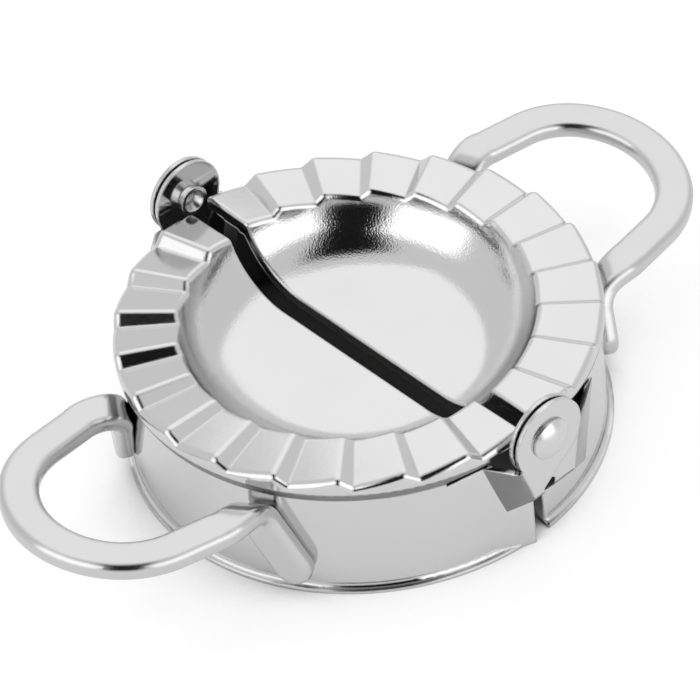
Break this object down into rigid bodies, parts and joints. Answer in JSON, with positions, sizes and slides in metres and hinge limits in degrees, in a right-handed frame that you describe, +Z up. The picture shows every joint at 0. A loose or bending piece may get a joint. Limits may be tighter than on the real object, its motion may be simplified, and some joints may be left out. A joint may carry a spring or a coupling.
{
  "type": "hinged dumpling press mould",
  "caption": "Open sheet-metal dumpling press: two dished, fluted-rim halves on a riveted hinge, each with a flat-bar loop handle, folding over to crimp filled dough.",
  "frame": {"origin": "centre of the open mould on the plane its hem stands on", "axes": "+X along the two handles, +Y along the hinge line, +Z up out of the bowl"},
  "size_m": [0.1568, 0.1044, 0.0347],
  "materials": {
    "mould_sheet": "polished",
    "handle_bar": "polished",
    "rivet_steel": "polished",
    "washer_steel": "satin"
  },
  "bodies": {
    "right_half": {"right_shell": "mould_sheet", "right_handle": "handle_bar", "front_rivet": "rivet_steel", "rear_rivet": "rivet_steel", "front_washer": "washer_steel", "rear_washer": "washer_steel"},
    "left_half": {"left_shell": "mould_sheet", "left_handle": "handle_bar"}
  },
  "joints": [
    {"name": "fold_hinge", "type": "hinge", "parent": "right_half", "child": "left_half", "pos_m": [0, 0, 0.027], "axis": [0, 1, 0], "range_deg": [0, 180]}
  ]
}
